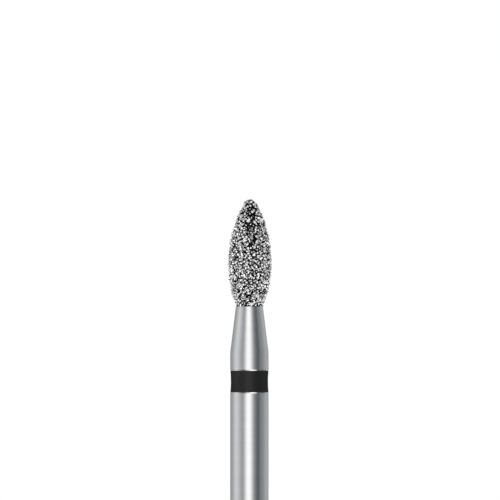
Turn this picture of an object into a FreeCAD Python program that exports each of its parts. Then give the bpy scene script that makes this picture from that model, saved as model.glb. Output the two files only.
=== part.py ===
# Friction-grip dental bur with a pointed-oval diamond head, in millimetres.
# The frame stands on the centre of the shank's driven end, with +Z towards the tip.
# The steel blank is turned in one piece: shank, ring groove, neck and the core of the head.
# A lacquer ring fills the groove, and one layer of diamond grit in its plated bond covers the core.
import FreeCAD, Part
import math
import os
import random
from enum import IntEnum, auto

import Sketcher
from FreeCAD import Vector

# Driving dimensions, in millimetres
SIZES = {
    "shank_diameter": 1.6,
    "shank_length": 12.68,  # from the driven end to the foot of the neck's taper
    "end_chamfer": 0.15,  # on the driven end
    "neck_length": 1.9,  # from the taper's foot to the head's foot
    "neck_diameter": 1.13,  # at the head's foot
    "neck_blend": 2.0,  # radius where the taper runs into the shank
    "ring_gap": 0.755,  # from the ring's upper edge to the taper's foot
    "ring_width": 0.875,
    "ring_groove_depth": 0.17,
    "ring_edge_height": 0.05,  # bevel on each edge of the groove, along the shank
    "ring_edge_depth": 0.014,  # bevel on each edge of the groove, into the shank
    "ring_dip": 0.022,  # how far the lacquer is hollow half way up the ring
    "head_diameter": 1.765,  # at the mean height of the grains' tops, so that the proudest make 1.8
    "head_length": 4.42,  # at that mean height too
    "tip_radius": 0.275,  # at that mean height too
    "widest_height": 1.8,  # from the head's foot to its widest place
    "core_step": 0.215,  # from the neck's rim in to the foot of the core
    "coat_thickness": 0.17,  # from the core to the mean height of the grains' tops
    "bond_depth": 0.065,  # from the mean height of the grains' tops down to the bond
    "grain_scatter": 0.035,  # most that a grain's top stands above or below that mean
    "grain_pitch": 0.16,  # from one grain to the next
}

# Habit of the grains, without units
GRAIN_SEED = 368
GRAIN_STRAY_SHARE = 0.36  # how far a grain may lie from its even place in a row, in pitches
TOP_SLOPE_RATIO = 0.38  # greatest slope of a grain's top facet
TOP_CORNER_SHARES = (0.42, 0.74)  # where a top facet's corner lies, from the grain's middle to its foot
TOP_CORNER_COUNTS = (3, 4, 4, 5)  # corners that a top facet may have
FEWEST_GRAINS_COUNT = 5  # in a row round the head

SMALLEST_STEP = 1e-6  # smallest length or volume told apart, in millimetres or cubic millimetres


def make_sheet(doc):
    """Puts the driving dimensions in a spreadsheet, each under its own alias."""
    sheet = doc.addObject("Spreadsheet::Sheet", "Sizes")
    for row, (name, value) in enumerate(SIZES.items(), start=1):
        sheet.set(f"A{row}", name)
        sheet.set(f"B{row}", str(value))
        sheet.setAlias(f"B{row}", name)
    doc.recompute()
    return sheet


def pairs_round(items):
    """Each item of a closed run with the one after it."""
    return list(zip(items, items[1:] + items[:1]))


class HeadOutline:
    """The head seen from the side, a given rise above the steel core: two long arcs and a tip circle.

    The arcs meet upright at the widest height, the upper one runs into the tip circle without a corner, and
    the lower one ends at the head's foot. A place on the outline is named by the slope of its outward normal
    above the horizontal, in radians, and a depth moves it inwards along that normal.
    """

    def __init__(self, size, rise):
        widest = size["head_diameter"] / 2 - size["coat_thickness"]
        foot = size["neck_diameter"] / 2 - size["core_step"]
        tip = size["tip_radius"] - size["coat_thickness"]
        self.foot_height = size["shank_length"] + size["neck_length"]
        self.widest_height = self.foot_height + size["widest_height"]
        self.tip_centre = self.foot_height + size["head_length"] - size["tip_radius"]
        drop = self.widest_height - self.foot_height
        climb = self.tip_centre - self.widest_height
        lower = (drop**2 + (widest - foot) ** 2) / (2 * (widest - foot))
        upper = (climb**2 + widest**2 - tip**2) / (2 * (widest - tip))
        self.lower_centre = widest - lower
        self.upper_centre = widest - upper
        self.lower_radius = lower + rise
        self.upper_radius = upper + rise
        self.tip_radius = tip + rise
        self.foot_normal = -math.asin(drop / self.lower_radius)
        self.tip_normal = math.atan2(climb, -self.upper_centre)
        self.lower_length = -self.foot_normal * self.lower_radius
        self.upper_length = self.tip_normal * self.upper_radius
        tip_length = (math.pi / 2 - self.tip_normal) * self.tip_radius
        self.length = self.lower_length + self.upper_length + tip_length

    def normal_at(self, length):
        """The normal's slope at a length along the outline from the head's foot."""
        if length < self.lower_length:
            return self.foot_normal + length / self.lower_radius
        above_widest = length - self.lower_length
        if above_widest < self.upper_length:
            return above_widest / self.upper_radius
        return self.tip_normal + (above_widest - self.upper_length) / self.tip_radius

    def point(self, normal, depth=0.0):
        """Distance from the axis, and height, of the outline at a normal."""
        if normal < 0:
            centre, height, radius = self.lower_centre, self.widest_height, self.lower_radius
        elif normal < self.tip_normal:
            centre, height, radius = self.upper_centre, self.widest_height, self.upper_radius
        else:
            centre, height, radius = 0.0, self.tip_centre, self.tip_radius
        return (
            centre + (radius - depth) * math.cos(normal),
            height + (radius - depth) * math.sin(normal),
        )


class Spot(IntEnum):
    """Points of a sketch's edge, numbered from 1 as the sketcher has them."""

    START = auto()
    END = auto()
    CENTRE = auto()


# The sketcher's own numbers for a sketch's level and upright axes
LEVEL_AXIS_INDEX = -1
UPRIGHT_AXIS_INDEX = -2
ORIGIN = (LEVEL_AXIS_INDEX, Spot.START)


class Sketch:
    """A closed outline in a body's XZ plane, whose dimensions are tied to the spreadsheet."""

    def __init__(self, body, name):
        plane = next(item for item in body.Origin.OriginFeatures if item.Role == "XZ_Plane")
        self.sketch = body.newObject("Sketcher::SketchObject", name)
        self.sketch.AttachmentSupport = [(plane, "")]
        self.sketch.MapMode = "FlatFace"

    def draw(self, corners, bulges, smooth=()):
        """Draws a closed outline through corners, given as (distance from the axis, height).

        Args:
            corners: the corners in order.
            bulges: a point half way along each edge that is an arc, by the number of the corner it leaves.
            smooth: the numbers of the corners where one edge runs into the next without a bend.

        Returns:
            The numbers of the edges, in the order of the corners that they leave.
        """
        edges = []
        places = [Vector(*corner, 0) for corner in corners]
        for number, (start, end) in enumerate(pairs_round(places)):
            if number in bulges:
                edge = Part.Arc(start, Vector(*bulges[number], 0), end)
            else:
                edge = Part.LineSegment(start, end)
            edges.append(self.sketch.addGeometry(edge))
        for number, (edge, corner) in enumerate(zip(edges, places)):
            before = edges[number - 1]
            joint = "Tangent" if number in smooth else "Coincident"
            self.fix(joint, before, self.end_near(before, corner), edge, self.end_near(edge, corner))
        return edges

    def end_near(self, edge, place):
        """Start or end of an edge, whichever lies at a place."""
        start, end = (self.sketch.getPoint(edge, spot) for spot in (Spot.START, Spot.END))
        return Spot.START if start.distanceToPoint(place) < end.distanceToPoint(place) else Spot.END

    def spot(self, place):
        """Adds a construction point."""
        return self.sketch.addGeometry(Part.Point(Vector(*place, 0)), True)

    def fix(self, kind, *where):
        """Adds a constraint that has no size."""
        self.sketch.addConstraint(Sketcher.Constraint(kind, *where))

    def tie(self, name, kind, *where, by):
        """Adds a dimension that follows an expression of the sheet's sizes."""
        index = self.sketch.addConstraint(Sketcher.Constraint(kind, *where))
        self.sketch.renameConstraint(index, name)
        self.sketch.setExpression(f"Constraints.{name}", by)

    def across(self, name, edge, end, by):
        """Ties how far the end of an edge lies from the axis."""
        drawn = self.sketch.getPoint(edge, end).x
        self.tie(name, "DistanceX", *ORIGIN, edge, end, drawn, by=by)

    def up(self, name, edge, end, by):
        """Ties how high the end of an edge lies above the driven end."""
        drawn = self.sketch.getPoint(edge, end).y
        self.tie(name, "DistanceY", *ORIGIN, edge, end, drawn, by=by)

    def radius(self, name, arc, by):
        """Ties the radius of an arc."""
        drawn = self.sketch.Geometry[arc].Radius
        self.tie(name, "Radius", arc, drawn, by=by)

    def revolve(self, body, kind):
        """Turns the outline once round the upright axis, as a Revolution or a Groove of its body."""
        turned = body.newObject(f"PartDesign::{kind}", f"{self.sketch.Name}Turned")
        turned.Profile = self.sketch
        turned.ReferenceAxis = (self.sketch, ["V_Axis"])
        turned.Angle = 360
        return turned


def draw_blank(body, size):
    """Outline of the blank on one side of its axis: driven end, shank, neck and core of the head."""
    shank = size["shank_diameter"] / 2
    neck = size["neck_diameter"] / 2
    core = HeadOutline(size, 0.0)
    lean = math.atan((shank - neck) / size["neck_length"])
    run = size["neck_blend"] * math.tan(lean / 2)
    blend_start = (shank, size["shank_length"] - run)
    blend_end = (shank - run * math.sin(lean), size["shank_length"] + run * math.cos(lean))
    blend_middle = (
        shank - size["neck_blend"] * (1 - math.cos(lean / 2)),
        blend_start[1] + size["neck_blend"] * math.sin(lean / 2),
    )
    corners = [
        (0, 0),
        (shank, 0),
        blend_start,
        blend_end,
        (neck, core.foot_height),
        core.point(core.foot_normal),
        core.point(0.0),
        core.point(core.tip_normal),
        core.point(math.pi / 2),
    ]
    bulges = {
        2: blend_middle,
        5: core.point(core.foot_normal / 2),
        6: core.point(core.tip_normal / 2),
        7: core.point((core.tip_normal + math.pi / 2) / 2),
    }
    sketch = Sketch(body, "BlankOutline")
    edges = sketch.draw(corners, bulges, smooth=(2, 3, 7))
    driven_end, side, blend, taper, step, lower, upper, tip, axis = edges
    start, end, centre = Spot

    sketch.fix("Coincident", driven_end, start, *ORIGIN)
    sketch.fix("Horizontal", driven_end)
    sketch.fix("Vertical", side)
    sketch.fix("Horizontal", step)
    sketch.across("shank_radius", driven_end, end, "Sizes.shank_diameter / 2")
    sketch.radius("neck_blend", blend, "Sizes.neck_blend")

    taper_foot = sketch.spot((shank, size["shank_length"]))
    sketch.fix("PointOnObject", taper_foot, start, side)
    sketch.fix("PointOnObject", taper_foot, start, taper)
    sketch.up("shank_length", taper_foot, start, "Sizes.shank_length")
    sketch.across("neck_radius", taper, end, "Sizes.neck_diameter / 2")
    sketch.up("head_foot", taper, end, "Sizes.shank_length + Sizes.neck_length")

    sketch.across("core_foot", step, end, "Sizes.neck_diameter / 2 - Sizes.core_step")
    sketch.across("core_widest", lower, end, "Sizes.head_diameter / 2 - Sizes.coat_thickness")
    widest_height = "Sizes.shank_length + Sizes.neck_length + Sizes.widest_height"
    sketch.up("widest_height", lower, end, widest_height)
    sketch.fix("Horizontal", lower, centre, lower, end)
    sketch.fix("Horizontal", upper, centre, upper, start)
    sketch.fix("PointOnObject", tip, centre, UPRIGHT_AXIS_INDEX)
    sketch.fix("PointOnObject", tip, end, UPRIGHT_AXIS_INDEX)
    sketch.radius("core_tip_radius", tip, "Sizes.tip_radius - Sizes.coat_thickness")
    core_top = "Sizes.shank_length + Sizes.neck_length + Sizes.head_length - Sizes.coat_thickness"
    sketch.up("core_top", axis, start, core_top)
    return sketch


def lowest_rim(edges):
    """The lowest of the edges that close on themselves."""
    rims = [edge for edge in edges if edge.Closed and edge.Length > 0]
    return min(rims, key=lambda edge: edge.BoundBox.ZMax)


def ring_edges(size):
    """Heights of the ring's lower and upper edge."""
    upper = size["shank_length"] - size["ring_gap"]
    return upper - size["ring_width"], upper


RING_FLOOR = "Sizes.shank_diameter / 2 - Sizes.ring_groove_depth"
RING_RIM = "Sizes.shank_diameter / 2 - Sizes.ring_edge_depth"
RING_TOP = "Sizes.shank_length - Sizes.ring_gap"
RING_FOOT = "Sizes.shank_length - Sizes.ring_gap - Sizes.ring_width"


def draw_groove(body, size):
    """Outline of the ring groove: floor, two upright walls and a bevel out to the shank's side from each."""
    shank = size["shank_diameter"] / 2
    floor = shank - size["ring_groove_depth"]
    rim = shank - size["ring_edge_depth"]
    foot, top = ring_edges(size)
    low, high = foot - size["ring_edge_height"], top + size["ring_edge_height"]
    corners = [(floor, foot), (rim, foot), (shank, low), (shank, high), (rim, top), (floor, top)]
    sketch = Sketch(body, "GrooveOutline")
    lower_wall, _, side, upper_bevel, upper_wall, floor_edge = sketch.draw(corners, {})
    start, end = Spot.START, Spot.END

    for wall in (lower_wall, upper_wall):
        sketch.fix("Horizontal", wall)
    for upright in (side, floor_edge):
        sketch.fix("Vertical", upright)
    sketch.across("floor_radius", lower_wall, start, RING_FLOOR)
    sketch.across("lower_rim", lower_wall, end, RING_RIM)
    sketch.across("upper_rim", upper_wall, start, RING_RIM)
    sketch.across("shank_radius", side, start, "Sizes.shank_diameter / 2")
    sketch.up("ring_foot", lower_wall, start, RING_FOOT)
    sketch.up("ring_top", upper_wall, start, RING_TOP)
    sketch.up("bevel_foot", side, start, f"{RING_FOOT} - Sizes.ring_edge_height")
    sketch.up("bevel_top", upper_bevel, start, f"{RING_TOP} + Sizes.ring_edge_height")
    return sketch


def draw_ring(body, size):
    """Outline of the lacquer: it fills the groove to its rims and is hollow between them."""
    shank = size["shank_diameter"] / 2
    floor = shank - size["ring_groove_depth"]
    rim = shank - size["ring_edge_depth"]
    foot, top = ring_edges(size)
    hollow = (rim - size["ring_dip"], (foot + top) / 2)
    corners = [(floor, foot), (rim, foot), (rim, top), (floor, top)]
    sketch = Sketch(body, "RingOutline")
    lower, face, upper, inner = sketch.draw(corners, {1: hollow})
    start, end = Spot.START, Spot.END

    for wall in (lower, upper):
        sketch.fix("Horizontal", wall)
    sketch.fix("Vertical", inner)
    sketch.across("floor_radius", lower, start, RING_FLOOR)
    sketch.across("lower_rim", lower, end, RING_RIM)
    sketch.across("upper_rim", upper, start, RING_RIM)
    sketch.up("ring_foot", lower, start, RING_FOOT)
    sketch.up("ring_top", upper, start, RING_TOP)
    waist = sketch.spot(hollow)
    sketch.fix("PointOnObject", waist, start, face)
    sketch.across("waist_radius", waist, start, f"{RING_RIM} - Sizes.ring_dip")
    sketch.up("waist_height", waist, start, f"{RING_FOOT} + Sizes.ring_width / 2")
    return sketch


def make_blank(doc, size):
    """The steel blank: one revolution, the ring groove cut into it and a chamfer on the driven end."""
    body = doc.addObject("PartDesign::Body", "SteelBlank")
    body.Label = "steel_blank"
    turned = draw_blank(body, size).revolve(body, "Revolution")
    doc.recompute()
    uncut = turned.Shape.Volume
    grooved = draw_groove(body, size).revolve(body, "Groove")
    doc.recompute()
    if uncut - grooved.Shape.Volume < SMALLEST_STEP:
        raise ValueError("the ring groove cuts nothing")
    rim = lowest_rim(grooved.Shape.Edges)
    names = [f"Edge{number}" for number, edge in enumerate(grooved.Shape.Edges, start=1) if edge.isSame(rim)]
    chamfer = body.newObject("PartDesign::Chamfer", "DrivenEndChamfer")
    chamfer.Base = (grooved, names)
    chamfer.setExpression("Size", "Sizes.end_chamfer")
    body.Tip = chamfer
    doc.recompute()
    return body


def make_ring(doc, size):
    """The lacquer ring that codes the grit, seated in the groove."""
    body = doc.addObject("PartDesign::Body", "CodeRing")
    body.Label = "code_ring"
    draw_ring(body, size).revolve(body, "Revolution")
    doc.recompute()
    return body


class Facets:
    """Flat faces that share their corners and edges, so that together they close without gaps."""

    def __init__(self):
        self.vertices = {}
        self.edges = {}

    def vertex(self, point):
        """The one vertex at a point."""
        key = tuple(point)
        if key not in self.vertices:
            self.vertices[key] = Part.Vertex(point)
        return self.vertices[key]

    def edge(self, start, end):
        """The one straight edge between two points, whichever way it is asked for."""
        key = frozenset((tuple(start), tuple(end)))
        if key not in self.edges:
            self.edges[key] = Part.Edge(self.vertex(start), self.vertex(end))
        return self.edges[key]

    def wire(self, points):
        """A closed wire through points."""
        return Part.Wire([self.edge(start, end) for start, end in pairs_round(points)])

    def face(self, points):
        """A face whose corners run anticlockwise seen from the side that it faces."""
        arms = [point - points[0] for point in points[1:]]
        outward = sum((arm.cross(following) for arm, following in zip(arms, arms[1:])), Vector())
        return facing(Part.Face(self.wire(points)), outward)


def facing(face, direction):
    """Turns a flat face over if it faces away from a direction."""
    if face.normalAt(0, 0).dot(direction) < 0:
        face.reverse()
    return face


class Grain:
    """One diamond: its place on the outline and the corners of the ground it stands on.

    A corner is (length along the outline, angle round the axis, point in space). It is shared with the grains
    beside it, so that neighbouring grains meet edge to edge in the bond.
    """

    def __init__(self, length, angle):
        self.length = length
        self.angle = angle
        self.below = []
        self.above = []

    def foot(self):
        """The corners round the grain, anticlockwise from outside."""
        below = sorted(self.below, key=self.turn_to)
        above = sorted(self.above, key=self.turn_to, reverse=True)
        return [point for _, _, point in below + above]

    def turn_to(self, corner):
        """Angle round the axis from the grain to a corner, at most half a turn either way."""
        return math.remainder(corner[1] - self.angle, math.tau)


class GritCoat:
    """The layer of grains over the core, in rows round the head with one grain on the tip."""

    def __init__(self, size):
        self.size = size
        self.outline = HeadOutline(size, size["coat_thickness"])
        self.chance = random.Random(GRAIN_SEED)
        self.rows = self.plant_rows()
        self.foot_corners = self.find_corners()

    def place(self, length, angle, depth):
        """The point in space at a length and an angle, a depth below the grains' mean height."""
        distance, height = self.outline.point(self.outline.normal_at(length), depth)
        return Vector(distance * math.cos(angle), distance * math.sin(angle), height)

    def stray(self):
        """How far a grain lies from its even place, in pitches."""
        return GRAIN_STRAY_SHARE * self.chance.uniform(-1, 1)

    def plant_rows(self):
        """Grains in rows from the foot to the tip, each a little off its even place."""
        pitch = self.size["grain_pitch"]
        count = max(1, round(self.outline.length / pitch - 0.5))
        spacing = self.outline.length / (count + 0.5)
        rows = []
        for number in range(count):
            middle = (number + 0.5) * spacing
            around = math.tau * self.place(middle, 0.0, 0.0).x
            grains = max(FEWEST_GRAINS_COUNT, round(around / pitch))
            first = self.chance.random()
            row = []
            for index in range(grains):
                length = middle + spacing * self.stray()
                angle = math.tau * (first + index + self.stray()) / grains
                row.append(Grain(length, angle))
            rows.append(row)
        return rows + [[Grain(self.outline.length, 0.0)]]

    def find_corners(self):
        """Gives each grain the corners of its ground, and returns the points on the head's foot, in order."""
        foot_corners = []
        neck = self.size["neck_diameter"] / 2
        for neighbours in pairs_round(self.rows[0]):
            angle = self.angle_between(neighbours)
            point = Vector(neck * math.cos(angle), neck * math.sin(angle), self.outline.foot_height)
            foot_corners.append(point)
            for grain in neighbours:
                grain.below.append((0.0, angle, point))
        for lower, upper in zip(self.rows, self.rows[1:]):
            for below, above in meetings(lower, upper):
                corner = self.corner_of(below + above)
                for grain in below:
                    grain.above.append(corner)
                for grain in above:
                    grain.below.append(corner)
        return foot_corners

    def angle_between(self, grains):
        """The angle round the axis of the middle between grains."""
        middle = sum((self.place(grain.length, grain.angle, 0.0) for grain in grains), Vector())
        return math.atan2(middle.y, middle.x)

    def corner_of(self, grains):
        """The point of the bond between three grains."""
        length = sum(grain.length for grain in grains) / len(grains)
        angle = self.angle_between(grains)
        return length, angle, self.place(length, angle, self.size["bond_depth"])

    def pick_marks(self, foot):
        """Numbers of the foot's corners that a grain's top facet has a corner over, in order."""
        count = min(self.chance.choice(TOP_CORNER_COUNTS), len(foot))
        first = self.chance.randrange(len(foot))
        return sorted((first + round(index * len(foot) / count)) % len(foot) for index in range(count))

    def top_facet(self, grain, below):
        """The corners of a grain's tilted top, each over one of the corners below."""
        slope = self.outline.normal_at(grain.length)
        level = math.cos(slope)
        outward = Vector(level * math.cos(grain.angle), level * math.sin(grain.angle), math.sin(slope))
        along = Vector(-math.sin(grain.angle), math.cos(grain.angle), 0)
        tipward = outward.cross(along)
        scatter = self.size["grain_scatter"] * self.chance.uniform(-1, 1)
        middle = self.place(grain.length, grain.angle, scatter)
        lean_along, lean_tipward = (TOP_SLOPE_RATIO * self.chance.uniform(-1, 1) for _ in (along, tipward))
        rim = []
        for corner in below:
            share = self.chance.uniform(*TOP_CORNER_SHARES)
            aside = (corner - middle).dot(along) * share
            ahead = (corner - middle).dot(tipward) * share
            rise = aside * lean_along + ahead * lean_tipward
            rim.append(middle + along * aside + tipward * ahead + outward * rise)
        return rim

    def facets_of(self, grain):
        """The polygons of one grain: its top facet, and triangles from there down to its foot."""
        foot = grain.foot()
        sides = pairs_round(foot)
        marks = self.pick_marks(foot)
        rim = self.top_facet(grain, [foot[mark] for mark in marks])
        facets = [rim]
        for (start, end), (mark, following) in zip(pairs_round(rim), pairs_round(marks)):
            last = following if following > mark else following + len(foot)
            switch = math.ceil((mark + last) / 2)
            facets.append([end, start, foot[switch % len(foot)]])
            for side in range(mark, last):
                apex = start if side < switch else end
                facets.append([*sides[side % len(foot)], apex])
        return facets

    def solid(self, core_faces):
        """The coat as one solid: grains outside, the core's own faces inside and a flat foot between."""
        facets = Facets()
        grains = [grain for row in self.rows for grain in row]
        faces = [facets.face(points) for grain in grains for points in self.facets_of(grain)]
        core_rim = lowest_rim([edge for face in core_faces for edge in face.Edges])
        rims = [facets.wire(self.foot_corners), Part.Wire([core_rim])]
        foot = Part.makeFace(rims, "Part::FaceMakerBullseye").Faces[0]
        faces.append(facing(foot, Vector(0, 0, -1)))
        faces += [face.reversed() for face in core_faces]
        return Part.makeSolid(Part.Shell(faces))


def meetings(lower, upper):
    """Finds the threes of grains that meet between two neighbouring rows, in order round the head.

    Each row holds its grains by rising angle. Two next to each other in one row meet the grain of the other
    row that lies beside the middle of their gap. A row of one grain has no such gap.

    Yields:
        The meeting grains of the lower row and those of the upper row, as two lists.
    """
    gaps = []
    for side, row in enumerate((lower, upper)):
        for index, grain in enumerate(row if len(row) > 1 else []):
            following = row[index + 1].angle if index + 1 < len(row) else row[0].angle + math.tau
            gaps.append(((grain.angle + following) / 2, side, index))
    beside = [0, 0]
    for _, side, index in sorted(gaps):
        row = (lower, upper)[side]
        following = (index + 1) % len(row)
        pair = [row[index], row[following]]
        if side == 0:
            yield pair, [upper[beside[1]]]
        else:
            yield [lower[beside[0]]], pair
        beside[side] = following


def make_coat(doc, size, blank):
    """The diamond grit in its plated bond, over the core of the head."""
    coat = GritCoat(size)
    foot_height = coat.outline.foot_height + SMALLEST_STEP
    core_faces = [face for face in blank.Shape.Faces if face.CenterOfMass.z > foot_height]
    feature = doc.addObject("Part::Feature", "DiamondCoat")
    feature.Label = "diamond_coat"
    feature.Shape = coat.solid(core_faces)
    feature.Placement = blank.Placement
    doc.recompute()
    return feature


def check(doc, parts):
    """Stops if an object of the document failed or a sub-part has no sound solid."""
    for item in doc.Objects:
        if {"Invalid", "Error"} & set(item.State):
            raise ValueError(f"{item.Name} failed: {item.State}")
    for part in parts:
        shape = part.Shape
        if shape.isNull() or not shape.isValid() or len(shape.Solids) != 1 or shape.Volume <= 0:
            raise ValueError(f"{part.Label} is no sound solid")


def main():
    doc = FreeCAD.newDocument("dental_bur")
    sheet = make_sheet(doc)
    size = {name: float(sheet.get(name)) for name in SIZES}
    blank = make_blank(doc, size)
    parts = [blank, make_ring(doc, size), make_coat(doc, size, blank)]
    check(doc, parts)
    os.makedirs("parts", exist_ok=True)
    for part in parts:
        part.Shape.exportStep(f"parts/{part.Label}.step")
        box = part.Shape.BoundBox
        print(f"{part.Label}: {part.Shape.Volume:.4f} mm3, {len(part.Shape.Faces)} faces, "
              f"z {box.ZMin:.3f} to {box.ZMax:.3f}, {box.XLength:.3f} across")


main()
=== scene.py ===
"""Looks of the dental bur: ground steel blank, black code ring and a head of diamond grit.

Lengths in the classes are millimetres, as on a maker's drawing, and become metres where a mesh is made.
Heights run from the shank's driven end. The shank's radius and the places of ring and head come from the
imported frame, and the other sizes are the bur's own.
"""
import logging
import math
import random
from abc import ABC, abstractmethod
from bisect import bisect_right
from collections.abc import Iterator
from dataclasses import dataclass, field, replace
from enum import Enum
from itertools import accumulate, pairwise
from typing import Any, ClassVar

import bmesh
import bpy
from mathutils import Euler, Matrix, Vector


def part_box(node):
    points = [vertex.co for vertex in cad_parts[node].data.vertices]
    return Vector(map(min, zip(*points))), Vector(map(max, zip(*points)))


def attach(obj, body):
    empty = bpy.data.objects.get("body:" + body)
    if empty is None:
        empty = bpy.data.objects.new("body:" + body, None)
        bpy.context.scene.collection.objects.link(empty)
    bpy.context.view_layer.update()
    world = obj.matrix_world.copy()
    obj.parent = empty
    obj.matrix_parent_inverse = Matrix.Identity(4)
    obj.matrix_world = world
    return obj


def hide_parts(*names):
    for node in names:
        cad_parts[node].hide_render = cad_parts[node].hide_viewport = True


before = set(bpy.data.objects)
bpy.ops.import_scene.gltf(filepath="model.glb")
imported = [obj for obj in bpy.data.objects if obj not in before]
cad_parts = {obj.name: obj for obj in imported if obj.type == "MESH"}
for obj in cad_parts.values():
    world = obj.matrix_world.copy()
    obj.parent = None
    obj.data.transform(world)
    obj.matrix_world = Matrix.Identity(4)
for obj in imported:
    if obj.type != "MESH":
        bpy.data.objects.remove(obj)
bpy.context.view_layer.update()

log = logging.getLogger("dental_bur")

MM = 0.001
BODY = "root"
UNIT = (0.0, 1.0)

Span = tuple[float, float]
Colour = tuple[float, float, float, float]
Source = bpy.types.NodeSocket | float | tuple[float, ...]
Inputs = dict[str | int, Source]


class Slot(Enum):
    """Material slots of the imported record."""

    STEEL = "ground_steel"
    LACQUER = "black_lacquer"
    GRIT = "diamond_grit"


class Attribute(Enum):
    """Values that a mesh carries for its material."""

    FACET_TONE = "facet_tone"
    DEPTH = "depth_in_coat"


def grey(level: float) -> Colour:
    """A neutral colour."""
    return level, level, level, 1.0


# Node trees


@dataclass(frozen=True)
class Noise:
    """Character of a cloudy texture."""

    detail: float  # how many times it is refined
    roughness: float  # how strong each finer layer is against the one before


class Graph:
    """A node tree under construction: a material's, a group's or the world's."""

    def __init__(self, tree: bpy.types.NodeTree) -> None:
        """Takes over a tree and empties it."""
        tree.nodes.clear()
        self.tree = tree

    def add(self, kind: str, inputs: Inputs | None = None, **settings: Any) -> bpy.types.Node:
        """Adds a node.

        Args:
            kind: the node's type.
            inputs: for each input, by name or number, the socket that feeds it or its value.
            settings: the node's own properties.

        Returns:
            The node.
        """
        node = self.tree.nodes.new(kind)
        for name, setting in settings.items():
            setattr(node, name, setting)
        for name, source in (inputs or {}).items():
            self.feed(node.inputs[name], source)
        return node

    def feed(self, socket: bpy.types.NodeSocket, source: Source) -> None:
        """Gives an input what it works with.

        Args:
            socket: the input.
            source: the socket that feeds it, or its value.
        """
        if isinstance(source, bpy.types.NodeSocket):
            self.tree.links.new(source, socket)
        else:
            socket.default_value = source

    def declare(self, name: str, direction: str) -> None:
        """Declares a number that a group takes in or gives out."""
        self.tree.interface.new_socket(name=name, in_out=direction, socket_type="NodeSocketFloat")

    def calculate(self, operation: str, *values: Source) -> bpy.types.NodeSocket:
        """The result of a Math node, whose inputs are given in order."""
        return self.add("ShaderNodeMath", dict(enumerate(values)), operation=operation).outputs[0]

    def ramp(
        self, value: Source, given: Span = UNIT, wanted: Span = UNIT, kind: str = "LINEAR"
    ) -> bpy.types.NodeSocket:
        """Takes a value from one span to another, and holds it at the ends of that.

        Args:
            value: the value.
            given: where it starts and ends.
            wanted: the results there.
            kind: how the result goes from one to the other.

        Returns:
            The result.
        """
        limits = {"From Min": given[0], "From Max": given[1], "To Min": wanted[0], "To Max": wanted[1]}
        inputs = {"Value": value, **limits}
        return self.add("ShaderNodeMapRange", inputs, interpolation_type=kind).outputs["Result"]

    def blend(self, share: Source, low: Colour, high: Colour) -> bpy.types.NodeSocket:
        """Mixes two colours.

        Args:
            share: how much the second counts, from 0 to 1.
            low: the first colour.
            high: the second.

        Returns:
            The mixed colour.
        """
        node = self.add("ShaderNodeMix", data_type="RGBA")
        for name, source in (("Factor", share), ("A", low), ("B", high)):
            self.feed(next(item for item in node.inputs if item.name == name and item.enabled), source)
        return next(item for item in node.outputs if item.enabled)

    def choose(self, share: Source, first: Source, second: Source) -> bpy.types.NodeSocket:
        """The first shader where the share is 0, and the second where it is 1."""
        return self.add("ShaderNodeMixShader", {0: share, 1: first, 2: second}).outputs[0]

    def noise(self, place: Source, scale: Source, noise: Noise) -> bpy.types.NodeSocket:
        """The value of a cloudy texture at a place, from 0 to 1."""
        inputs = {"Vector": place, "Scale": scale, "Detail": noise.detail, "Roughness": noise.roughness}
        return self.add("ShaderNodeTexNoise", inputs).outputs["Fac"]

    def bump(self, height: Source, depth: float) -> bpy.types.NodeSocket:
        """The normal of a surface that stands up to this many millimetres high where the height is 1."""
        inputs = {"Height": height, "Distance": depth * MM, "Strength": 1.0}
        return self.add("ShaderNodeBump", inputs).outputs["Normal"]

    def attribute(self, attribute: Attribute) -> bpy.types.NodeSocket:
        """A value that the mesh carries."""
        return self.add("ShaderNodeAttribute", attribute_name=attribute.value).outputs["Fac"]


@dataclass(frozen=True)
class Effect(ABC):
    """A surface effect that several finishes share, as one node group.

    It takes a size in millimetres, and gives a tone and a height for each place.
    """

    name: ClassVar[str]

    def place(self, graph: Graph, size: float) -> bpy.types.bpy_prop_collection:
        """Places the effect in a material at a size, and gives its outputs, Tone and Height."""
        return graph.add("ShaderNodeGroup", {"Size": size}, node_tree=self.group()).outputs

    def group(self) -> bpy.types.NodeTree:
        """Finds the effect's node group, or builds it at its first use.

        Returns:
            The group.
        """
        made = bpy.data.node_groups.get(self.name)
        if made is None:
            made = bpy.data.node_groups.new(self.name, "ShaderNodeTree")
            graph = Graph(made)
            graph.declare("Size", "INPUT")
            graph.declare("Tone", "OUTPUT")
            graph.declare("Height", "OUTPUT")
            size = graph.add("NodeGroupInput").outputs["Size"]
            place = graph.add("ShaderNodeTexCoord").outputs["Object"]
            scale = graph.calculate("DIVIDE", 1.0 / MM, size)
            graph.add("NodeGroupOutput", self.outputs(graph, place, scale))
        return made

    @abstractmethod
    def outputs(self, graph: Graph, place: Source, scale: Source) -> Inputs:
        """Works out the effect.

        Args:
            graph: the group's tree.
            place: the place on the object, in metres.
            scale: how many times the effect repeats in a metre.

        Returns:
            What feeds the group's outputs, Tone and Height.
        """


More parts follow.
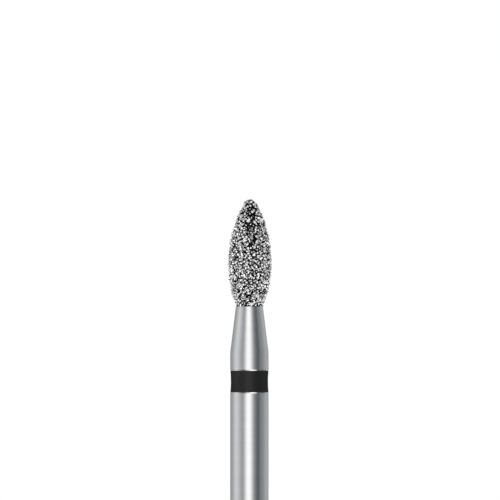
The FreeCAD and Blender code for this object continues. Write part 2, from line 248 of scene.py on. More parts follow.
@dataclass(frozen=True)
class TurningMarks(Effect):
    """Fine rings round the axis that grinding leaves, each fading in and out on its way round."""

    name: ClassVar[str] = "turning_marks"
    stretch: float = 0.02  # how slowly a ring changes on its way round, against its width
    fine: Noise = Noise(detail=3.0, roughness=0.6)
    broad: Noise = Noise(detail=2.0, roughness=0.5)
    broad_scale: float = 0.17  # how often the broad bands repeat, against the fine marks

    def outputs(self, graph: Graph, place: Source, scale: Source) -> Inputs:
        """Works out the effect: fine marks as its height, and broader bands as its tone.

        Args:
            graph: the group's tree.
            place: the place on the object, in metres.
            scale: how many marks there are in a metre.

        Returns:
            What feeds the group's outputs.
        """
        squeeze = (self.stretch, self.stretch, 1.0)
        squeezed = graph.add("ShaderNodeMapping", {"Vector": place, "Scale": squeeze}).outputs["Vector"]
        broad_scale = graph.calculate("MULTIPLY", scale, self.broad_scale)
        return {
            "Tone": graph.noise(squeezed, broad_scale, self.broad),
            "Height": graph.noise(squeezed, scale, self.fine),
        }


@dataclass(frozen=True)
class Mottle(Effect):
    """Soft clouds of tone, as oil, handling and plating leave, and small rounded pimples."""

    name: ClassVar[str] = "mottle"
    cloud: Noise = Noise(detail=4.0, roughness=0.55)

    def outputs(self, graph: Graph, place: Source, scale: Source) -> Inputs:
        """Works out the effect: clouds as its tone, and pimples as its height.

        Args:
            graph: the group's tree.
            place: the place on the object, in metres.
            scale: how many clouds there are in a metre.

        Returns:
            What feeds the group's outputs.
        """
        cells = {"Vector": place, "Scale": scale}
        pimples = graph.add("ShaderNodeTexVoronoi", cells, feature="SMOOTH_F1")
        return {"Tone": graph.noise(place, scale, self.cloud), "Height": pimples.outputs["Distance"]}


# Finishes


@dataclass(frozen=True)
class Finish(ABC):
    """What a surface is made of and how it was worked."""

    name: ClassVar[str]
    slot: ClassVar[Slot]

    def material(self) -> bpy.types.Material:
        """Builds the finish's material.

        Returns:
            The material.
        """
        made = bpy.data.materials.new(self.name)
        made.use_nodes = True
        graph = Graph(made.node_tree)
        shader = graph.add("ShaderNodeBsdfPrincipled", self.inputs(graph))
        graph.add("ShaderNodeOutputMaterial", {"Surface": shader.outputs["BSDF"]})
        return made

    @abstractmethod
    def inputs(self, graph: Graph) -> Inputs:
        """Works out the finish.

        Args:
            graph: the material's tree.

        Returns:
            What feeds the shader.
        """


@dataclass(frozen=True)
class GroundSteel(Finish):
    """Hardened stainless steel, ground round the axis and bright."""

    name: ClassVar[str] = "turned_steel"
    slot: ClassVar[Slot] = Slot.STEEL
    bright: Colour = (0.63, 0.64, 0.65, 1.0)
    dull: Colour = (0.58, 0.59, 0.60, 1.0)
    contrast: float = 2.0  # how far marks and clouds together drive it from dull to bright
    roughness: Span = (0.07, 0.12)
    cloud_size: float = 1.7
    mark_pitch: float = 0.045
    mark_depth: float = 0.0002

    def inputs(self, graph: Graph) -> Inputs:
        """Works out the finish: turning marks that catch the light, under faint clouds.

        Args:
            graph: the material's tree.

        Returns:
            What feeds the shader.
        """
        marks = TurningMarks().place(graph, self.mark_pitch)
        clouds = Mottle().place(graph, self.cloud_size)
        tone = graph.calculate("MULTIPLY", marks["Tone"], clouds["Tone"])
        brightness = graph.calculate("MULTIPLY", tone, self.contrast)
        return {
            "Base Color": graph.blend(brightness, self.dull, self.bright),
            "Metallic": 1.0,
            "Roughness": graph.ramp(marks["Tone"], wanted=self.roughness),
            "Normal": graph.bump(marks["Height"], self.mark_depth),
        }


@dataclass(frozen=True)
class BakedLacquer(Finish):
    """Black lacquer filled with graphite and baked into the groove, satin and slightly uneven."""

    name: ClassVar[str] = "baked_lacquer"
    slot: ClassVar[Slot] = Slot.LACQUER
    deep: Colour = (0.0185, 0.0185, 0.019, 1.0)
    worn: Colour = (0.024, 0.024, 0.0245, 1.0)
    graphite: float = 0.65
    edge_tint: Colour = grey(0.5)
    roughness: Span = (0.26, 0.36)
    cloud_size: float = 0.14
    streak_pitch: float = 0.16
    orange_peel: float = 0.0004

    def inputs(self, graph: Graph) -> Inputs:
        """Works out the finish: broad streaks round the ring, and the lacquer's uneven skin.

        Args:
            graph: the material's tree.

        Returns:
            What feeds the shader.
        """
        streaks = TurningMarks().place(graph, self.streak_pitch)
        clouds = Mottle().place(graph, self.cloud_size)
        return {
            "Base Color": graph.blend(clouds["Tone"], self.deep, self.worn),
            "Metallic": self.graphite,
            "Roughness": graph.ramp(streaks["Tone"], wanted=self.roughness),
            "Specular IOR Level": 0.0,
            "Specular Tint": self.edge_tint,
            "Normal": graph.bump(clouds["Tone"], self.orange_peel),
        }


@dataclass(frozen=True)
class PlatedBond(Finish):
    """Metal plated up between the grains to hold them, coloured near black with the painted shade of the gaps
    between them.
    """

    name: ClassVar[str] = "plated_bond"
    slot: ClassVar[Slot] = Slot.GRIT
    # Both colours are near black: painted shade of the gaps between the grains, not the plating's own colour.
    deep: Colour = grey(0.002)
    raised: Colour = (0.012, 0.012, 0.013, 1.0)
    roughness: Span = (0.35, 0.6)
    nodule_size: float = 0.03
    nodule_height: float = 0.006

    def inputs(self, graph: Graph) -> Inputs:
        """Works out the finish: the plating's fine nodules.

        Args:
            graph: the material's tree.

        Returns:
            What feeds the shader.
        """
        nodules = Mottle().place(graph, self.nodule_size)
        return {
            "Base Color": graph.blend(nodules["Tone"], self.deep, self.raised),
            "Metallic": 1.0,
            "Roughness": graph.ramp(nodules["Tone"], wanted=self.roughness),
            "Normal": graph.bump(nodules["Height"], self.nodule_height),
        }


@dataclass(frozen=True)
class DiamondGrain(Finish):
    """Synthetic diamond grains, from near black to glassy white, each facet with its own tone."""

    name: ClassVar[str] = "diamond_grain"
    slot: ClassVar[Slot] = Slot.GRIT
    dark: Colour = (0.004, 0.004, 0.0045, 1.0)
    light: Colour = (0.9, 0.9, 0.91, 1.0)
    roughness: Span = (0.45, 0.15)
    ior: float = 1.45
    shine: float = 0.3
    fleck_size: float = 0.032
    fleck_tones: Span = (-2.4, 2.2)  # what flecks add to a facet's tone
    glint: Span = (0.9, 1.1)  # tones between which a facet turns into a mirror
    shade_depth: float = 0.036  # below the head's outline, from where a grain is painted fully dark: painted shade at its foot, down among its neighbours

    def inputs(self, graph: Graph) -> Inputs:
        """Works out the finish: toned facets with flecks, and painted shade that darkens them and takes their
        mirror away towards the grain's foot.

        Args:
            graph: the material's tree.

        Returns:
            What feeds the shader.
        """
        tone = graph.attribute(Attribute.FACET_TONE)
        flecks = Mottle().place(graph, self.fleck_size)
        flecked = graph.calculate("ADD", tone, graph.ramp(flecks["Tone"], wanted=self.fleck_tones))
        # Painted shade: towards a grain's foot its colour falls to dark and its mirror fades, as if its
        # neighbours shaded it.
        unshaded_share = graph.ramp(graph.attribute(Attribute.DEPTH), given=(self.shade_depth * MM, 0.0))
        return {
            "Base Color": graph.blend(graph.calculate("MULTIPLY", flecked, unshaded_share), self.dark, self.light),
            "Metallic": graph.calculate("MULTIPLY", graph.ramp(tone, given=self.glint), unshaded_share),
            "Roughness": graph.ramp(tone, wanted=self.roughness),
            "IOR": self.ior,
            "Specular IOR Level": self.shine,
        }


# Shaping


def clear_selection() -> None:
    """Leaves nothing selected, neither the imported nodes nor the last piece."""
    bpy.ops.object.select_all(action="DESELECT")


def pick(*objects: bpy.types.Object) -> None:
    """Selects objects and nothing else.

    Args:
        objects: the objects, the first of which becomes the active one.
    """
    clear_selection()
    for item in objects:
        item.select_set(True)
    bpy.context.view_layer.objects.active = objects[0]


@dataclass(frozen=True)
class Station:
    """One circle of a turned form, or one point of its outline."""

    radius: float
    height: float


@dataclass(frozen=True)
class Lathe:
    """Turns a form: a circle that is drawn out from station to station."""

    sides: int
    crease: float = 12.0  # degrees between two faces from which their edge stays sharp

    def turn(self, name: str, stations: list[Station], ring: bool = False) -> bpy.types.Object:
        """Turns one closed piece.

        Args:
            name: the piece's name.
            stations: its circles in order along the outline.
            ring: whether the outline closes on itself. If not, it starts and ends in a flat disc.

        Returns:
            The piece.
        """
        first = stations[0]
        clear_selection()
        bpy.ops.mesh.primitive_circle_add(
            vertices=self.sides,
            radius=first.radius * MM,
            fill_type="NOTHING" if ring else "NGON",
            location=(0, 0, first.height * MM),
        )
        piece = bpy.context.active_object
        piece.name = piece.data.name = name
        bpy.ops.object.mode_set(mode="EDIT")
        bpy.ops.mesh.select_all(action="SELECT")
        for before, after in pairwise([*stations, first] if ring else stations):
            self.draw_out(before, after)
        bpy.ops.mesh.select_all(action="SELECT")
        if ring:
            bpy.ops.mesh.remove_doubles(threshold=first.radius * MM / self.sides)
        bpy.ops.mesh.normals_make_consistent(inside=False)
        bpy.ops.object.mode_set(mode="OBJECT")
        bpy.ops.object.transform_apply(location=True, rotation=True, scale=True)
        bpy.ops.object.shade_smooth_by_angle(angle=math.radians(self.crease))
        return piece

    @staticmethod
    def draw_out(before: Station, after: Station) -> None:
        """Draws the selected circle out to the next station.

        Args:
            before: the station where the circle is.
            after: the next one.
        """
        rise = (after.height - before.height) * MM
        ratio = after.radius / before.radius
        bpy.ops.mesh.extrude_region_move(TRANSFORM_OT_translate={"value": (0, 0, rise)})
        bpy.ops.transform.resize(value=(ratio, ratio, 1), center_override=(0, 0, after.height * MM))


def arc(centre: Station, radius: float, start: float, end: float, steps: int) -> list[Station]:
    """Stations along an arc.

    Args:
        centre: its centre.
        radius: its radius.
        start: the slope of the outward normal at its first station, in radians above the horizontal.
        end: the same at its last.
        steps: the number of stretches between stations.

    Returns:
        The stations from start to end.
    """
    slopes = [start + (end - start) * index / steps for index in range(steps + 1)]
    return [
        Station(centre.radius + radius * math.cos(slope), centre.height + radius * math.sin(slope))
        for slope in slopes
    ]


# Forms that more than one piece follows


@dataclass(frozen=True)
class Shank:
    """The shank, and the groove round it that the code ring fills."""

    radius: float
    ring_foot: float
    ring_top: float
    end_chamfer: float = 0.15
    groove_depth: float = 0.17
    bevel_height: float = 0.05
    bevel_depth: float = 0.014

    @property
    def floor_radius(self) -> float:
        """Radius of the groove's floor."""
        return self.radius - self.groove_depth

    @property
    def rim_radius(self) -> float:
        """Radius of the groove's walls at their outer edges, where the bevels start."""
        return self.radius - self.bevel_depth

    def stations(self) -> Iterator[Station]:
        """Follows the shank from the middle of its driven end to just above the groove.

        Yields:
            Each station.
        """
        yield Station(self.radius - self.end_chamfer, 0.0)
        yield Station(self.radius, self.end_chamfer)
        yield Station(self.radius, self.ring_foot - self.bevel_height)
        yield Station(self.rim_radius, self.ring_foot)
        yield Station(self.floor_radius, self.ring_foot)
        yield Station(self.floor_radius, self.ring_top)
        yield Station(self.rim_radius, self.ring_top)
        yield Station(self.radius, self.ring_top + self.bevel_height)


@dataclass(frozen=True)
class Head:
    """The head seen from the side: two long arcs and a tip circle, round the tops of the grains."""

    foot_height: float
    widest_rise: float = 1.8
    length: float = 4.42
    widest_radius: float = 0.8825
    foot_radius: float = 0.52
    tip_radius: float = 0.275
    coat_thickness: float = 0.17
    tip_opening: float = 0.02  # radians short of the axis at which the outline ends
    tip_saving: int = 3  # how many times fewer steps the tip has than each long arc

    @property
    def widest_height(self) -> float:
        """Height of the widest place."""
        return self.foot_height + self.widest_rise

    @property
    def tip_centre(self) -> float:
        """Height of the tip circle's centre."""
        return self.foot_height + self.length - self.tip_radius

    @property
    def lower_radius(self) -> float:
        """Radius of the arc from the foot to the widest place."""
        inward = self.widest_radius - self.foot_radius
        return (self.widest_rise**2 + inward**2) / (2 * inward)

    @property
    def upper_radius(self) -> float:
        """Radius of the arc from the widest place to the tip circle, which it meets without a kink."""
        climb = self.tip_centre - self.widest_height
        inward = self.widest_radius - self.tip_radius
        return (climb**2 + self.widest_radius**2 - self.tip_radius**2) / (2 * inward)

    @property
    def foot_slope(self) -> float:
        """Slope of the outward normal at the foot, in radians above the horizontal."""
        return -math.asin(self.widest_rise / self.lower_radius)

    @property
    def tip_slope(self) -> float:
        """Slope of the outward normal where the tip circle starts."""
        climb = self.tip_centre - self.widest_height
        return math.atan2(climb, self.upper_radius - self.widest_radius)

    def stations(self, depth: float, steps: int) -> list[Station]:
        """Follows the head at a depth, from its foot to just beside the axis at the tip.

        Args:
            depth: how far below the outline.
            steps: the number of stretches in each long arc.

        Returns:
            The stations.
        """
        lower = Station(self.widest_radius - self.lower_radius, self.widest_height)
        upper = Station(self.widest_radius - self.upper_radius, self.widest_height)
        tip = Station(0.0, self.tip_centre)
        almost_up = math.pi / 2 - self.tip_opening
        rising = arc(lower, self.lower_radius - depth, self.foot_slope, 0.0, steps)
        narrowing = arc(upper, self.upper_radius - depth, 0.0, self.tip_slope, steps)
        rounding = arc(tip, self.tip_radius - depth, self.tip_slope, almost_up, steps // self.tip_saving)
        return rising + narrowing[1:] + rounding[1:]


class Surface:
    """A turned surface, cut by the stations of its outline into bands."""

    def __init__(self, stations: list[Station]) -> None:
        """Adds the bands' areas up from the first station."""
        self.stations = stations
        self.areas = list(accumulate((self.area(*band) for band in pairwise(stations)), initial=0.0))

    @staticmethod
    def area(lower: Station, upper: Station) -> float:
        """The area of the band between two stations, divided by pi."""
        slant = math.hypot(upper.radius - lower.radius, upper.height - lower.height)
        return slant * (lower.radius + upper.radius)

    def at(self, share: float) -> tuple[Station, Vector]:
        """Finds a point of the outline by the share of the surface that lies below it.

        Args:
            share: the share, from 0 to 1.

        Returns:
            The point, and the direction outwards from it: away from the axis, and up.
        """
        wanted = min(max(share, 0.0), 1.0) * self.areas[-1]
        index = min(bisect_right(self.areas, wanted), len(self.areas) - 1) - 1
        lower, upper = self.stations[index], self.stations[index + 1]
        part = (wanted - self.areas[index]) / (self.areas[index + 1] - self.areas[index])
        point = Station(
            lower.radius + (upper.radius - lower.radius) * part,
            lower.height + (upper.height - lower.height) * part,
        )
        return point, Vector((upper.height - lower.height, lower.radius - upper.radius)).normalized()


# Pieces


@dataclass
class Piece(ABC):
    """A visible piece of the bur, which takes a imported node's place, alone or with another."""

    node: ClassVar[str]
    finish: ClassVar[Finish]

    def make(self) -> bpy.types.Object:
        """Returns:
            The piece.
        """
        piece = self.build()
        piece.data.materials.append(self.finish.material())
        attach(piece, BODY)
        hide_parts(self.node)
        return piece

    @abstractmethod
    def build(self) -> bpy.types.Object:
        """Models the piece."""


@dataclass
class SteelBlank(Piece):
    """The blank, turned and ground from one rod: shank, ring groove, tapered neck and core of the head."""

    node: ClassVar[str] = "steel_blank"
    finish: ClassVar[Finish] = GroundSteel()
    shank: Shank
    head: Head
    neck_length: float = 1.9
    neck_radius: float = 0.565
    neck_blend: float = 2.0
    lathe: Lathe = Lathe(sides=256)
    arc_steps: int = 24

    def build(self) -> bpy.types.Object:
        """Models the blank."""
        core = self.head.stations(self.head.coat_thickness, self.arc_steps)
        return self.lathe.turn("turned_blank", [*self.shank.stations(), *self.neck(), *core])

    def neck(self) -> list[Station]:
        """Follows the blend from the shank into the taper, and the taper up to the head's foot.

        Returns:
            The stations.
        """
        lean = math.atan((self.shank.radius - self.neck_radius) / self.neck_length)
        run = self.neck_blend * math.tan(lean / 2)
        start = self.head.foot_height - self.neck_length - run
        centre = Station(self.shank.radius - self.neck_blend, start)
        blend = arc(centre, self.neck_blend, 0.0, lean, self.arc_steps)
        return [*blend, Station(self.neck_radius, self.head.foot_height)]


@dataclass
class CodeRing(Piece):
    """The black lacquer ring in the groove, hollow between its edges."""

    node: ClassVar[str] = "code_ring"
    finish: ClassVar[Finish] = BakedLacquer()
    shank: Shank
    dip: float = 0.02
    lap: float = 0.007  # how far the lacquer runs out over the groove's bevels
    film: float = 0.0025  # its thickness there
    lathe: Lathe = Lathe(sides=256)
    arc_steps: int = 24

    def build(self) -> bpy.types.Object:
        """Models the ring.

        Returns:
            The ring.
        """
        floor, rim = self.shank.floor_radius, self.shank.rim_radius
        foot, top = self.shank.ring_foot, self.shank.ring_top
        lower = [Station(floor, foot), Station(rim, foot)]
        upper = [Station(rim, top), Station(floor, top)]
        return self.lathe.turn("lacquer_ring", [*lower, *self.hollow_face(), *upper], ring=True)

    def hollow_face(self) -> list[Station]:
        """Follows the ring's outer face, an arc that dips in between its two edges.

        Returns:
            The stations.
        """
        foot, top = self.shank.ring_foot, self.shank.ring_top
        half = (top - foot) / 2 + self.lap
        radius = (half**2 + self.dip**2) / (2 * self.dip)
        centre = Station(self.shank.rim_radius + self.film - self.dip + radius, (foot + top) / 2)
        reach = math.asin(half / radius)
        return arc(centre, radius, math.pi + reach, math.pi - reach, self.arc_steps)


@dataclass
class BondShell(Piece):
    """Metal plated over the core, a shell that holds the grains by their lower halves."""

    node: ClassVar[str] = "diamond_coat"
    finish: ClassVar[Finish] = PlatedBond()
    head: Head
    depth: float = 0.065  # of its outer face below the head's outline
    swell_height: float = 0.03
    swell_size: float = 0.15
    lathe: Lathe = Lathe(sides=144, crease=60.0)
    inner_steps: int = 42
    outer_steps: int = 84

    def build(self) -> bpy.types.Object:
        """Models the shell, whose outer face swells and sinks a little.

        Returns:
            The shell.
        """
        inside = self.head.stations(self.head.coat_thickness, self.inner_steps)[::-1]
        outside = self.head.stations(self.depth, self.outer_steps)
        bond = self.lathe.turn("plated_bond", inside + outside)
        clouds = bpy.data.textures.new("bond_swells", "CLOUDS")
        clouds.noise_scale = self.swell_size * MM
        swell = bond.modifiers.new("swell", "DISPLACE")
        swell.texture = clouds
        swell.texture_coords = "LOCAL"
        swell.strength = self.swell_height * MM
        pick(bond)
        bpy.ops.object.modifier_apply(modifier=swell.name)
        return bond


class Habit(Enum):
    """Forms that the grains grow and break to, with the share of an edge that is cut off at each corner."""

    BLOCKY = 0.27
    BLUNT = 0.42
    POINTED = 0.2
    CHIPPED = 0.3


@dataclass(frozen=True)
class GrainPattern:
    """Models one grain of each habit, about a unit across."""

    cube_size: float = 0.74
    octahedron_radius: float = 0.6
    chip_place: tuple[float, float, float] = (0.12, 0.05, 0.1)
    chip_slant: tuple[float, float, float] = (1.0, 0.4, 0.7)

    def model(self, habit: Habit) -> bpy.types.Object:
        """Models a grain.

        Args:
            habit: the form that it has.

        Returns:
            The grain, at the origin.
        """
        clear_selection()
        if habit in (Habit.BLOCKY, Habit.CHIPPED):
            bpy.ops.mesh.primitive_cube_add(size=self.cube_size)
            edge = self.cube_size
        else:
            # A sphere of four segments and two rings is an octahedron.
            bpy.ops.mesh.primitive_uv_sphere_add(segments=4, ring_count=2, radius=self.octahedron_radius)
            edge = self.octahedron_radius * math.sqrt(2)
        grain = bpy.context.active_object
        grain.name = f"grain_{habit.name.lower()}"
        bpy.ops.object.mode_set(mode="EDIT")
        bpy.ops.mesh.select_all(action="SELECT")
        bpy.ops.mesh.bevel(offset=edge * habit.value, segments=1, affect="VERTICES")
        if habit is Habit.CHIPPED:
            self.chip(grain.data)
        bpy.ops.mesh.select_all(action="SELECT")
        bpy.ops.mesh.normals_make_consistent(inside=False)
        bpy.ops.object.mode_set(mode="OBJECT")
        bpy.ops.object.shade_flat()
        return grain

    def chip(self, mesh: bpy.types.Mesh) -> None:
        """Breaks one side off the grain along a slanting plane.

        The cut leaves the faces in an order that differs from run to run, so they are sorted along the slant.

        Args:
            mesh: the grain's mesh, in edit mode.
        """
        slant = Vector(self.chip_slant).normalized()
        bpy.ops.mesh.select_all(action="SELECT")
        bpy.ops.mesh.bisect(plane_co=self.chip_place, plane_no=slant, use_fill=True, clear_outer=True)
        edited = bmesh.from_edit_mesh(mesh)
        edited.faces.sort(key=lambda face: face.calc_center_median().dot(slant))
        bmesh.update_edit_mesh(mesh)


@dataclass(frozen=True)
class Sieving:
    """Grains of one sieve size, spread over the whole head."""

    size: float
    count: int
    proud: float  # how far their tops stand out of the head's outline, on average
    thins: bool = True  # whether some are missing where the grit lies thin


@dataclass(frozen=True)
class ThinPatch:
    """A place on the head where the grit lies thinner."""

    azimuth: float  # degrees to the right of the front
    height: float
    half_width: float
    half_height: float
    loss: float  # share of the grains missing at its middle
    flatness: int = 4  # the higher, the further out that share holds before it falls off to the edge

    def missing(self, place: Vector) -> float:
        """Tells how thin the grit lies.

        Args:
            place: a place on the head.

        Returns:
            The share of the grains missing there.
        """
        bearing = math.atan2(place.x, -place.y) - math.radians(self.azimuth)
        aside = math.hypot(place.x, place.y) * math.remainder(bearing, math.tau)
        reach = math.hypot(aside / self.half_width, (place.z - self.height) / self.half_height)
        return self.loss * max(0.0, 1.0 - reach**self.flatness)


@dataclass
class Grains(Piece):
    """The diamond grains, which stand in the bond all over the head."""

    node: ClassVar[str] = "diamond_coat"
    finish: ClassVar[Finish] = DiamondGrain()
    head: Head
    foot_radius: float = 0.54  # the grains crowd out a little over the bond at the foot
    sievings: tuple[Sieving, ...] = (
        Sieving(size=0.155, count=120, proud=0.015),
        Sieving(size=0.108, count=1500, proud=0.02),
        Sieving(size=0.075, count=1100, proud=-0.01, thins=False),
    )
    thin_patches: tuple[ThinPatch, ...] = (
        ThinPatch(azimuth=3.0, height=17.8, half_width=0.3, half_height=1.15, loss=0.45),
        ThinPatch(azimuth=128.0, height=16.6, half_width=0.35, half_height=0.9, loss=0.3),
        ThinPatch(azimuth=-104.0, height=17.2, half_width=0.3, half_height=1.0, loss=0.3),
    )
    widths: Span = (0.78, 1.22)  # against the sieve size
    stretch: Span = (0.65, 1.3)  # against the width, along each axis of the grain
    scatter: float = 0.025  # how far a grain may stand higher or lower than its sieving
    stray: float = 0.35  # how far it may lie from its even place, against its size
    lean: float = 0.035  # how far the coat's tip lies beside the axis
    body_tones: Span = (0.55, 1.05)
    facet_tone: float = 1.0  # how far a facet's tone may lie from its grain's
    outline_steps: int = 168
    turn_step: float = math.pi * (3 - math.sqrt(5))  # golden angle, which spreads the grains evenly
    seed: int = 11
    chance: random.Random = field(init=False)

    def __post_init__(self) -> None:
        """Starts the grains' own run of random numbers."""
        self.chance = random.Random(self.seed)

    def build(self) -> bpy.types.Object:
        """Plants all the grains and joins them.

        Returns:
            The grains as one piece.
        """
        patterns = [GrainPattern().model(habit) for habit in Habit]
        planted = []
        for sieving in self.sievings:
            for place, outward in self.places(sieving):
                missing = max(patch.missing(place) for patch in self.thin_patches)
                if not sieving.thins or self.chance.random() >= missing:
                    planted.append(self.plant(self.chance.choice(patterns), place, outward, sieving))
        for pattern in patterns:
            bpy.data.objects.remove(pattern)
        pick(*planted)
        bpy.ops.object.join()
        grains = bpy.context.active_object
        grains.name = grains.data.name = "diamond_grains"
        return grains

    def places(self, sieving: Sieving) -> Iterator[tuple[Vector, Vector]]:
        """Spreads places evenly over the head, a little off a winding line from foot to tip.

        Args:
            sieving: the grains that stand there.

        Yields:
            Each place on the head's outline and the direction outwards from it.
        """
        outline = replace(self.head, foot_radius=self.foot_radius)
        surface = Surface(outline.stations(0.0, self.outline_steps))
        for number in range(sieving.count):
            astray = self.chance.uniform(-1, 1) * self.stray * sieving.size
            point, normal = surface.at((number + 0.5) / sieving.count + astray / outline.length)
            swing = self.stray * sieving.size / max(point.radius, sieving.size)
            angle = number * self.turn_step + self.chance.uniform(-1, 1) * swing
            across, along = math.cos(angle), math.sin(angle)
            aside = self.lean * (point.height - outline.foot_height) / outline.length
            place = Vector((point.radius * across + aside, point.radius * along, point.height))
            yield place, Vector((normal.x * across, normal.x * along, normal.y))

    def plant(
        self, pattern: bpy.types.Object, place: Vector, outward: Vector, sieving: Sieving
    ) -> bpy.types.Object:
        """Plants one grain.

        Args:
            pattern: the grain to copy.
            place: where it stands on the head's outline.
            outward: the direction out of the head there.
            sieving: what it is one of.

        Returns:
            The planted copy, with its place in its own mesh.
        """
        width = sieving.size * self.chance.uniform(*self.widths)
        sunk = width / 2 - sieving.proud - self.scatter * self.chance.uniform(-1, 1)
        turn = Euler([self.chance.uniform(0, math.tau) for _ in range(3)]).to_matrix().to_4x4()
        stretch = Vector([width * self.chance.uniform(*self.stretch) for _ in range(3)])
        centre = place - outward * sunk
        grain = pattern.copy()
        grain.data = pattern.data.copy()
        grain.data.transform(Matrix.Translation(centre * MM) @ turn @ Matrix.Diagonal(stretch * MM).to_4x4())
        self.mark(grain.data, place, outward)
        bpy.context.scene.collection.objects.link(grain)
        return grain

    def mark(self, mesh: bpy.types.Mesh, place: Vector, outward: Vector) -> None:
        """Gives a grain what its finish reads: each facet's tone and each corner's depth in the coat.

        Args:
            mesh: the planted grain's mesh.
            place: where it stands on the head's outline.
            outward: the direction out of the head there.
        """
        tones = mesh.attributes.new(Attribute.FACET_TONE.value, "FLOAT", "FACE")
        body = self.chance.uniform(*self.body_tones)
        for tone in tones.data:
            tone.value = min(max(body + self.facet_tone * self.chance.uniform(-1, 1), 0.0), 1.0)
        # Each corner's depth below the outline, from which the grains' finish paints shade towards their
        # feet.
        depths = mesh.attributes.new(Attribute.DEPTH.value, "FLOAT", "POINT")
        for depth, vertex in zip(depths.data, mesh.vertices):
            depth.value = (place * MM - vertex.co).dot(outward)


# Studio


@dataclass(frozen=True)
class Panel:
    """An upright strip of the light tent with soft edges, which adds light or takes it away."""

    azimuth: float  # degrees to the right of the camera, seen from the bur
    half_width: float  # degrees on each side at full strength
    fade: float  # degrees over which each edge fades out
    gain: float  # what it adds to the tent's level, or takes away where it is negative
    tint: tuple[float, float, float] = (1.0, 1.0, 1.0)
    gap: float = 0.0  # degrees above and below the level that it leaves free


@dataclass(frozen=True)
class LightTent:
    """The world: white to the camera, a tent of panels in the metal, plain light on everything else."""

    backdrop: float = 1.01
    level: float = 0.52  # of the tent, before its panels
    plain_level: float = 0.3
    gap_fade: float = 7.0  # degrees over which a panel fades in above and below its gap
    panels: tuple[Panel, ...] = (
        Panel(azimuth=-5.0, half_width=2.0, fade=34.5, gain=1.05, tint=(1.02, 1.0, 0.97)),
        Panel(azimuth=-84.5, half_width=0.0, fade=43.5, gain=0.43),
        Panel(azimuth=51.0, half_width=3.5, fade=24.0, gain=-0.185, tint=(1.05, 0.98, 0.97)),
        Panel(azimuth=66.0, half_width=7.0, fade=59.0, gain=-0.155, tint=(1.04, 1.01, 0.95)),
        Panel(azimuth=117.5, half_width=7.0, fade=27.0, gain=0.09),
        Panel(azimuth=178.0, half_width=4.0, fade=18.0, gain=0.75),
        Panel(azimuth=-150.0, half_width=1.0, fade=12.0, gain=-0.2),
        Panel(azimuth=-150.0, half_width=15.0, fade=30.0, gain=-0.5, gap=20.0),
        Panel(azimuth=-60.0, half_width=10.0, fade=30.0, gain=-0.33, gap=20.0),
        Panel(azimuth=-14.0, half_width=6.0, fade=26.0, gain=-0.62, gap=20.0),
        Panel(azimuth=27.0, half_width=6.0, fade=24.0, gain=1.25, gap=20.0),
        Panel(azimuth=110.0, half_width=15.0, fade=45.0, gain=-0.25, gap=11.5),
    )

    def build(self) -> None:
        """Sets the world."""
        world = bpy.data.worlds.new("light_tent")
        world.use_nodes = True
        world.cycles.sampling_method = "NONE"
        bpy.context.scene.world = world
        graph = Graph(world.node_tree)
        ray = graph.add("ShaderNodeLightPath").outputs
        plain = self.glow(graph, grey(1.0), self.plain_level)
        lit = graph.choose(ray["Is Glossy Ray"], plain, self.glow(graph, self.tent_colour(graph), 1.0))
        seen = graph.choose(ray["Is Camera Ray"], lit, self.glow(graph, grey(1.0), self.backdrop))
        graph.add("ShaderNodeOutputWorld", {"Surface": seen})

    @staticmethod
    def glow(graph: Graph, colour: Source, strength: float) -> bpy.types.NodeSocket:
        """A world that shines in a colour."""
        return graph.add("ShaderNodeBackground", {"Color": colour, "Strength": strength}).outputs[0]

    def tent_colour(self, graph: Graph) -> bpy.types.NodeSocket:
        """Works out the tent's colour and brightness in each direction.

        Args:
            graph: the world's tree.

        Returns:
            The colour.
        """
        direction = graph.add("ShaderNodeTexCoord").outputs["Generated"]
        axes = graph.add("ShaderNodeSeparateXYZ", {0: direction}).outputs
        azimuth = graph.calculate("ARCTAN2", axes["X"], graph.calculate("MULTIPLY", axes["Y"], -1.0))
        rise = graph.calculate("ABSOLUTE", graph.calculate("ARCSINE", axes["Z"]))
        channels = [self.level] * 3
        for panel in self.panels:
            offset = graph.calculate("SUBTRACT", azimuth, math.radians(panel.azimuth))
            aside = graph.calculate("ABSOLUTE", graph.calculate("WRAP", offset, math.pi, -math.pi))
            strength = self.step(graph, aside, panel.half_width + panel.fade, panel.half_width, panel.gain)
            if panel.gap:
                shown = self.step(graph, rise, panel.gap, panel.gap + self.gap_fade, 1.0)
                strength = graph.calculate("MULTIPLY", strength, shown)
            channels = [
                graph.calculate("MULTIPLY_ADD", strength, tint, channel)
                for channel, tint in zip(channels, panel.tint)
            ]
        return graph.add("ShaderNodeCombineColor", dict(enumerate(channels))).outputs["Color"]

    @staticmethod
    def step(graph: Graph, angle: Source, start: float, end: float, height: float) -> bpy.types.NodeSocket:
        """A smooth step from nothing at one angle, in degrees, to its full height at another."""
        given = (math.radians(start), math.radians(end))
        return graph.ramp(angle, given, (0.0, height), kind="SMOOTHSTEP")


@dataclass(frozen=True)
class Lamp:
    """A distant soft lamp. It shows in no reflection, because the tent's panels do."""

    name: str
    azimuth: float  # degrees to the right of the camera, seen from the bur
    elevation: float  # degrees above the level
    strength: float
    softness: float  # degrees across

    def build(self) -> None:
        """Hangs the lamp."""
        light = bpy.data.lights.new(self.name, "SUN")
        light.energy = self.strength
        light.angle = math.radians(self.softness)
        lamp = bpy.data.objects.new(self.name, light)
        lamp.visible_glossy = False
        azimuth, elevation = math.radians(self.azimuth), math.radians(self.elevation)
        towards = Vector((
            math.sin(azimuth) * math.cos(elevation),
            -math.cos(azimuth) * math.cos(elevation),
            math.sin(elevation),
        ))
        lamp.rotation_euler = towards.to_track_quat("Z", "Y").to_euler()
        bpy.context.scene.collection.objects.link(lamp)


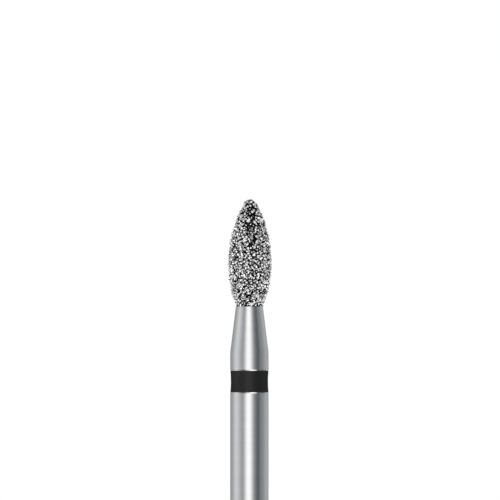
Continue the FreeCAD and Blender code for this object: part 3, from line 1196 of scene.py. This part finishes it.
@dataclass(frozen=True)
class Viewpoint:
    """The photograph's viewpoint: level and from far off, with the shank cut by the frame's lower edge."""

    lens: float = 1500.0
    sensor: float = 36.0
    frame_width: float = 20.63
    aim_height: float = 16.91
    aside: float = 0.023  # how far it stands to the right of the axis
    nearest: float = 1.0  # how near a thing may come and still be seen

    def build(self) -> None:
        """Sets up the camera."""
        data = bpy.data.cameras.new("camera")
        data.sensor_width = self.sensor
        data.lens = self.lens
        data.clip_start = self.nearest * MM
        camera = bpy.data.objects.new("camera", data)
        distance = self.frame_width / self.sensor * self.lens
        camera.location = Vector((self.aside, -distance, self.aim_height)) * MM
        camera.rotation_euler = (math.pi / 2, 0, 0)
        bpy.context.scene.collection.objects.link(camera)
        bpy.context.scene.camera = camera


@dataclass(frozen=True)
class Studio:
    """Floor, lamps, tent and camera round the bur."""

    floor_radius: float = 150.0
    floor_sides: int = 96
    floor_white: float = 0.9
    lamps: tuple[Lamp, ...] = (
        Lamp("left_lamp", azimuth=-60.0, elevation=14.0, strength=3.9, softness=10.0),
        Lamp("right_lamp", azimuth=60.0, elevation=8.0, strength=2.6, softness=10.0),
        Lamp("table_lamp", azimuth=5.0, elevation=-40.0, strength=1.6, softness=20.0),
        Lamp("back_lamp", azimuth=165.0, elevation=35.0, strength=2.5, softness=20.0),
    )

    def build(self) -> None:
        """Sets up the studio."""
        self.lay_floor()
        for lamp in self.lamps:
            lamp.build()
        LightTent().build()
        Viewpoint().build()
        bpy.context.scene.view_settings.view_transform = "Standard"

    def lay_floor(self) -> None:
        """Lays a light table under the driven end, below the photograph's frame."""
        clear_selection()
        bpy.ops.mesh.primitive_circle_add(
            vertices=self.floor_sides, radius=self.floor_radius * MM, fill_type="NGON"
        )
        floor = bpy.context.active_object
        floor.name = "floor"
        material = bpy.data.materials.new("pale_floor")
        material.use_nodes = True
        graph = Graph(material.node_tree)
        diffuse = graph.add("ShaderNodeBsdfDiffuse", {"Color": grey(self.floor_white)})
        graph.add("ShaderNodeOutputMaterial", {"Surface": diffuse.outputs[0]})
        floor.data.materials.append(material)
        floor.visible_shadow = False
        floor.visible_glossy = False


def main() -> None:
    """Builds the bur's pieces and the studio round them."""
    logging.basicConfig(level=logging.INFO, format="%(name)s %(message)s")
    shank_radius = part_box(SteelBlank.node)[1].x / MM
    ring_foot, ring_top = (corner.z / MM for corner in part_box(CodeRing.node))
    shank = Shank(shank_radius, ring_foot, ring_top)
    head = Head(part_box(Grains.node)[0].z / MM)
    for part in (SteelBlank(shank, head), CodeRing(shank), BondShell(head), Grains(head)):
        piece = part.make()
        log.info("%s: %d faces, %s", piece.name, len(piece.data.polygons), part.finish.name)
    Studio().build()


if __name__ == "__main__":
    main()
